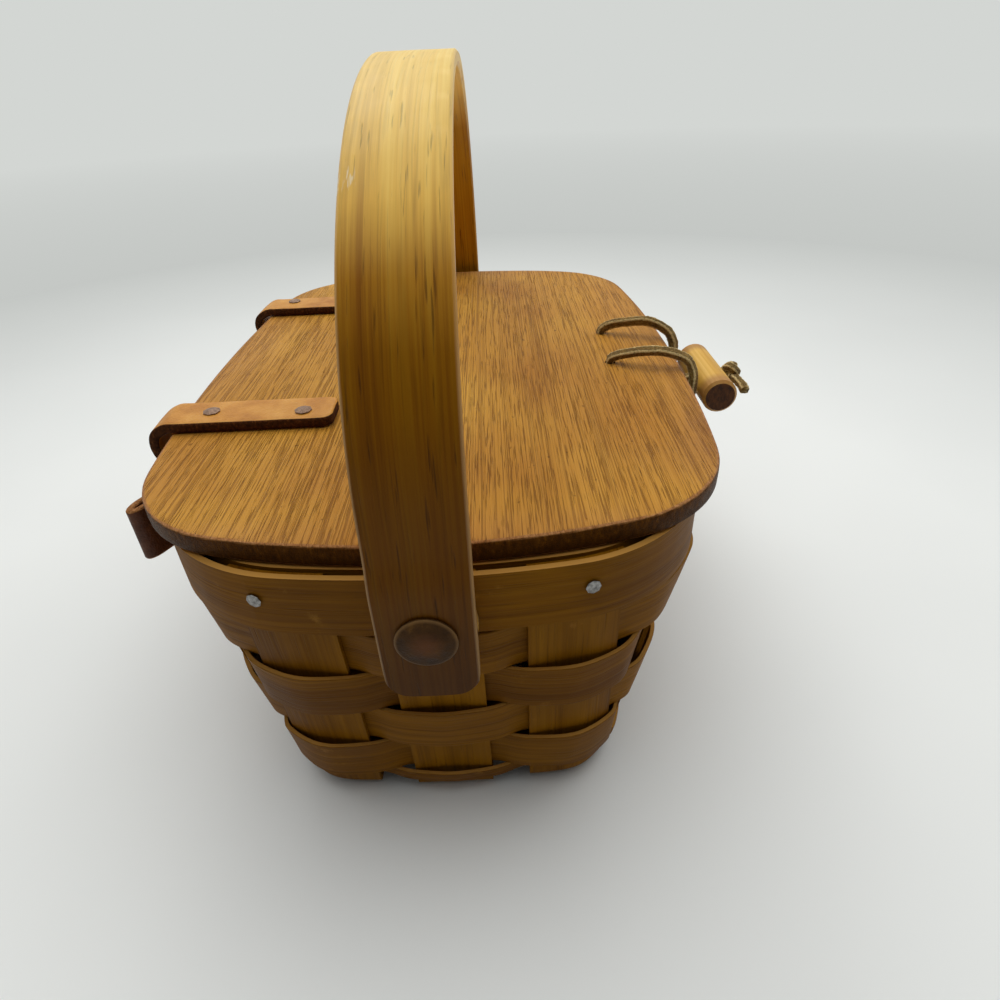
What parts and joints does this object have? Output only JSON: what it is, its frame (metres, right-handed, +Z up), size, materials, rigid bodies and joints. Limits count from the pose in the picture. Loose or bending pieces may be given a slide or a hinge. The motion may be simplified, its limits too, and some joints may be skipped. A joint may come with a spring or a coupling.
{
  "type": "pie basket",
  "caption": "Splint-woven basket with a hinged plank lid on leather straps, a swing handle on rivets, and a lace loop and toggle peg that hold the lid shut.",
  "frame": {"origin": "middle of the underside of the middle splint, which is what the basket stands on", "axes": "+Z up; +X along the basket's length, away from the end that faces the camera; +Y towards the lid's hinges"},
  "size_m": [0.2754, 0.2086, 0.2086],
  "materials": {
    "splint_wood": "oiled brown splint",
    "handle_wood": "worn satin honey brown",
    "lid_wood": "oiled warm brown with dark pores",
    "peg_wood": "pale worn dowel",
    "strap_leather": "tan with dark edges",
    "suede_lace": "olive-brown suede",
    "bronze": "dark patina",
    "nail_steel": "dull silver",
    "tack_steel": "dull grey-brown"
  },
  "bodies": {
    "basket": {"weaver_1": "splint_wood", "weaver_2": "splint_wood", "weaver_3": "splint_wood", "weaver_4": "splint_wood", "weaver_5": "splint_wood", "long_upright_front": "splint_wood", "long_upright_middle": "splint_wood", "long_upright_back": "splint_wood", "cross_upright_1": "splint_wood", "cross_upright_2": "splint_wood", "cross_upright_3": "splint_wood", "cross_upright_4": "splint_wood", "cross_upright_5": "splint_wood", "outer_rim": "splint_wood", "inner_rim": "splint_wood", "near_rivet": "bronze", "far_rivet": "bronze", "near_spacer": "bronze", "far_spacer": "bronze", "near_burr": "bronze", "far_burr": "bronze", "rim_nail_1": "nail_steel", "rim_nail_2": "nail_steel", "rim_nail_3": "nail_steel", "rim_nail_4": "nail_steel", "rim_nail_5": "nail_steel", "rim_nail_6": "nail_steel", "rim_nail_7": "nail_steel", "rim_tack_1": "tack_steel", "rim_tack_2": "tack_steel", "tab_tack": "tack_steel", "hinge_strap_1": "strap_leather", "hinge_strap_2": "strap_leather", "leather_tab": "strap_leather", "tether_lace": "suede_lace", "tether_knot": "suede_lace", "tether_stop_knot": "suede_lace", "tether_tail": "suede_lace"},
    "lid": {"lid": "lid_wood", "lid_tack_1": "tack_steel", "lid_tack_2": "tack_steel", "lid_tack_3": "tack_steel", "lid_tack_4": "tack_steel", "lace_loop": "suede_lace", "lace_stop_knot_1": "suede_lace", "lace_stop_knot_2": "suede_lace"},
    "handle": {"handle": "handle_wood"},
    "peg": {"toggle_peg": "peg_wood"}
  },
  "joints": [
    {"name": "lid_hinge", "type": "hinge", "parent": "basket", "child": "lid", "pos_m": [0, 0.0838, 0.10215], "axis": [-1, 0, 0], "range_deg": [0, 4], "deforming": ["hinge_strap_1", "hinge_strap_2", "lace_loop"]},
    {"name": "handle_swing", "type": "hinge", "parent": "basket", "child": "handle", "pos_m": [0, 0, 0.088], "axis": [1, 0, 0], "range_deg": [-72, 100]},
    {"name": "toggle_turn", "type": "hinge", "parent": "basket", "child": "peg", "pos_m": [-0.015, -0.101, 0.1005], "axis": [0, 1, 0], "range_deg": [-90, 90]}
  ]
}
